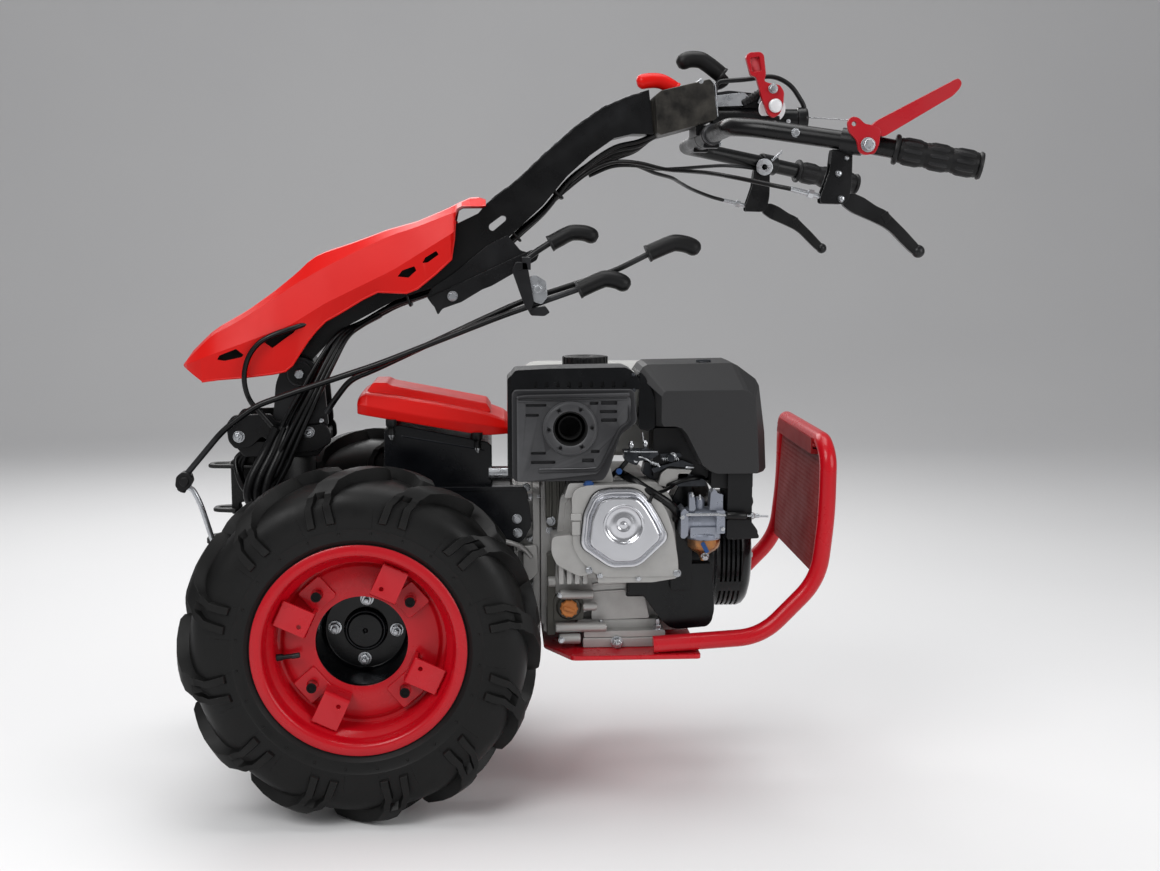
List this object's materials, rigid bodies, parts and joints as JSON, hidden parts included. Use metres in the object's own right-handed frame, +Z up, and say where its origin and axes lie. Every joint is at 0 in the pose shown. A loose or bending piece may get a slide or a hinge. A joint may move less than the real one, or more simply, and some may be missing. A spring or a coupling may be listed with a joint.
{
  "type": "two-wheel walking tractor",
  "caption": "Two-wheel walking tractor: petrol engine and bumper ahead of a wheeled gearbox, swivelling and tilting handlebar column with control rods, hand levers and grips.",
  "frame": {"origin": "midway between the two hand grips, where the standing operator holds the machine", "axes": "+X forwards from the wheel axle to the engine and bumper, +Y to the left-hand side, +Z up"},
  "size_m": [1.2362, 0.8004, 1.2462],
  "materials": {
    "red_paint": "gloss red enamel, lightly scuffed",
    "red_plastic": "moulded red plastic",
    "black_paint": "satin black paint",
    "black_plastic": "matt black plastic",
    "grey_plastic": "dark grey heat-resistant plastic",
    "tyre_rubber": "black tyre rubber",
    "grip_rubber": "black moulded rubber",
    "cast_aluminium": "sand-cast aluminium",
    "cast_iron": "dark painted cast iron",
    "pressed_steel": "bright pressed steel cover",
    "bare_steel": "bare turned steel",
    "tank_enamel": "white enamel",
    "cable_sheath": "black cable sheath"
  },
  "bodies": {
    "chassis": {"gearbox": "cast_iron", "bell_housing": "cast_aluminium", "side_plate_right": "black_paint", "side_plate_left": "black_paint", "hitch_coupling": "cast_iron", "hood_support": "black_paint", "hood": "red_plastic", "swivel_pad": "cast_iron", "engine_block": "cast_aluminium", "valve_cover": "pressed_steel", "muffler_guard": "grey_plastic", "fuel_tank": "tank_enamel", "fuel_cap": "black_plastic", "air_cleaner": "grey_plastic", "carburettor": "cast_aluminium", "fan_cover": "black_plastic", "engine_foot": "cast_aluminium", "engine_cradle": "red_paint", "bumper_frame": "red_paint", "bumper_panel": "red_paint"},
    "wheel_right": {"tyre_right": "tyre_rubber", "rim_right": "red_paint", "hub_right": "black_paint", "axle_shaft_right": "bare_steel"},
    "wheel_left": {"tyre_left": "tyre_rubber", "rim_left": "red_paint", "hub_left": "black_paint", "axle_shaft_left": "bare_steel"},
    "turret": {"turret": "black_paint", "turret_cables": "cable_sheath"},
    "column": {"column": "black_paint", "rod_bracket": "black_paint", "head_box": "black_paint", "control_console": "black_paint", "stop_lever": "red_plastic", "crossbar": "black_paint", "handle_tube_right": "black_paint", "handle_tube_left": "black_paint", "grip_right": "grip_rubber", "grip_left": "grip_rubber", "hand_lever_right": "black_paint", "hand_lever_left": "black_paint", "lock_lever": "red_plastic", "cowl": "red_plastic", "speed_rod": "black_paint", "drive_rod": "black_paint", "column_cables": "cable_sheath"}
  },
  "joints": [
    {"name": "wheel_right_spin", "type": "hinge", "parent": "chassis", "child": "wheel_right", "pos_m": [-0.87, -0.23, -0.76], "axis": [0, 1, 0], "continuous": true},
    {"name": "wheel_left_spin", "type": "hinge", "parent": "chassis", "child": "wheel_left", "pos_m": [-0.87, 0.23, -0.76], "axis": [0, 1, 0], "continuous": true},
    {"name": "handlebar_swivel", "type": "hinge", "parent": "chassis", "child": "turret", "pos_m": [-1.015, 0, -0.57], "axis": [0, 0, 1], "range_deg": [-8, 8]},
    {"name": "handlebar_tilt", "type": "hinge", "parent": "turret", "child": "column", "pos_m": [-0.98, 0, -0.343], "axis": [0, 1, 0], "range_deg": [-10, 8]}
  ]
}
